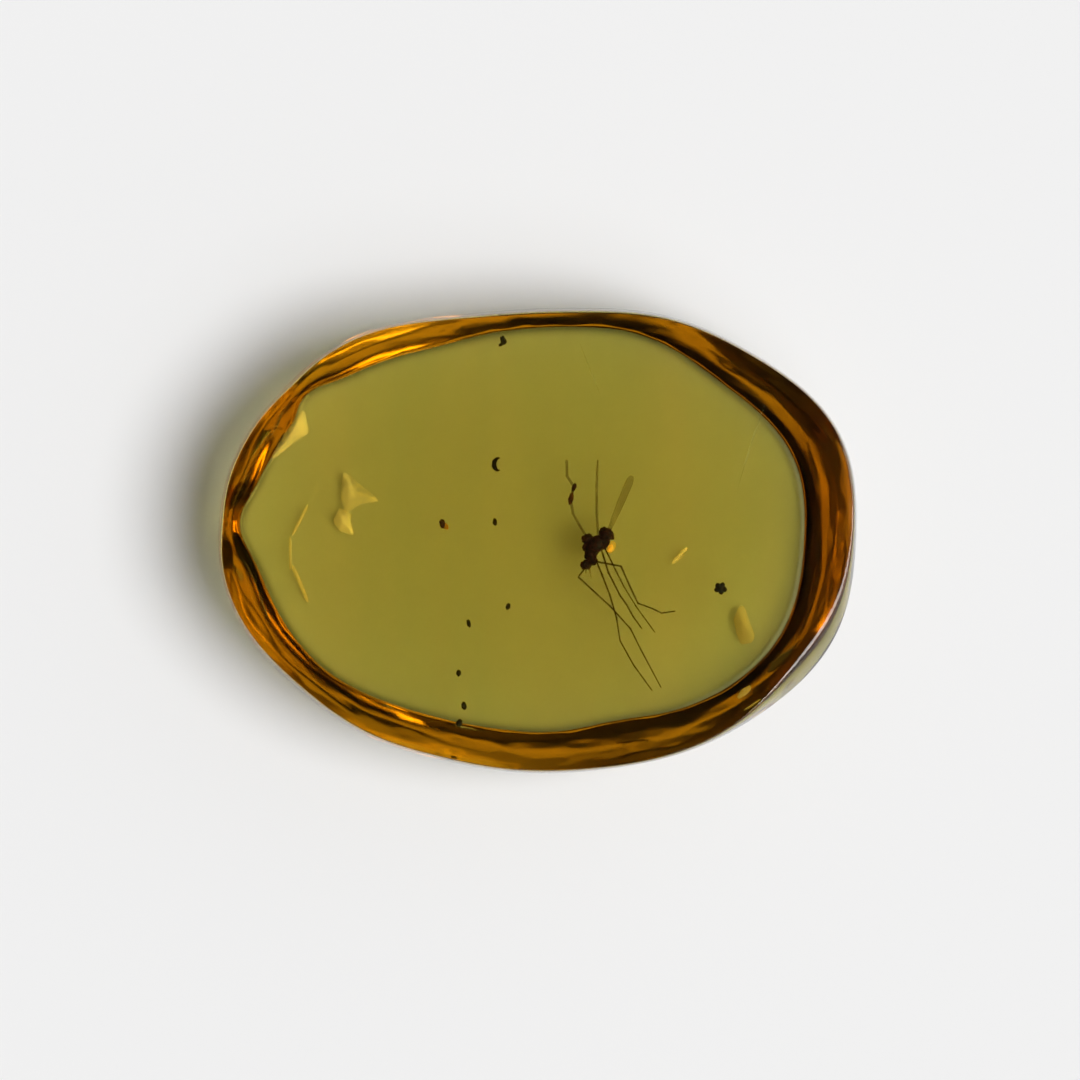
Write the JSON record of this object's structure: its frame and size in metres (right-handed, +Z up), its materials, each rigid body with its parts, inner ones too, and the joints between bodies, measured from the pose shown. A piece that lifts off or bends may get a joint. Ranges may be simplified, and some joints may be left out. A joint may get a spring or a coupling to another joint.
{
  "type": "insect in amber",
  "caption": "Polished oval stone of clear amber with a long-legged fly and specks of debris sealed inside it; it rests on the flat middle of its underside.",
  "frame": {"origin": "middle of the stone's outline, on the plane it rests on", "axes": "+X along the stone's length, +Y across its width, +Z up through its thickness"},
  "size_m": [0.03, 0.0218, 0.0058],
  "materials": {
    "amber_upper": "polished clear amber, plain transmission with yellow-brown absorption",
    "amber_lower": "polished clear amber, plain transmission with yellow-brown absorption",
    "insect_cuticle": "dark brown cuticle, satin",
    "crescent_fragment": "black plant debris",
    "star_grain": "black mineral grain",
    "orange_grain": "brown grain with an orange side",
    "speck_1": "dull dark dust",
    "speck_2": "dull dark dust",
    "speck_3": "dull dark dust",
    "speck_4": "dull dark dust",
    "speck_5": "dull dark dust",
    "speck_6": "dull dark dust",
    "speck_7": "dull dark dust"
  },
  "bodies": {
    "root": {"amber_upper": "amber_upper", "amber_lower": "amber_lower", "insect": "insect_cuticle", "crescent_fragment": "crescent_fragment", "star_grain": "star_grain", "orange_grain": "orange_grain", "speck_1": "speck_1", "speck_2": "speck_2", "speck_3": "speck_3", "speck_4": "speck_4", "speck_5": "speck_5", "speck_6": "speck_6", "speck_7": "speck_7"}
  },
  "joints": []
}
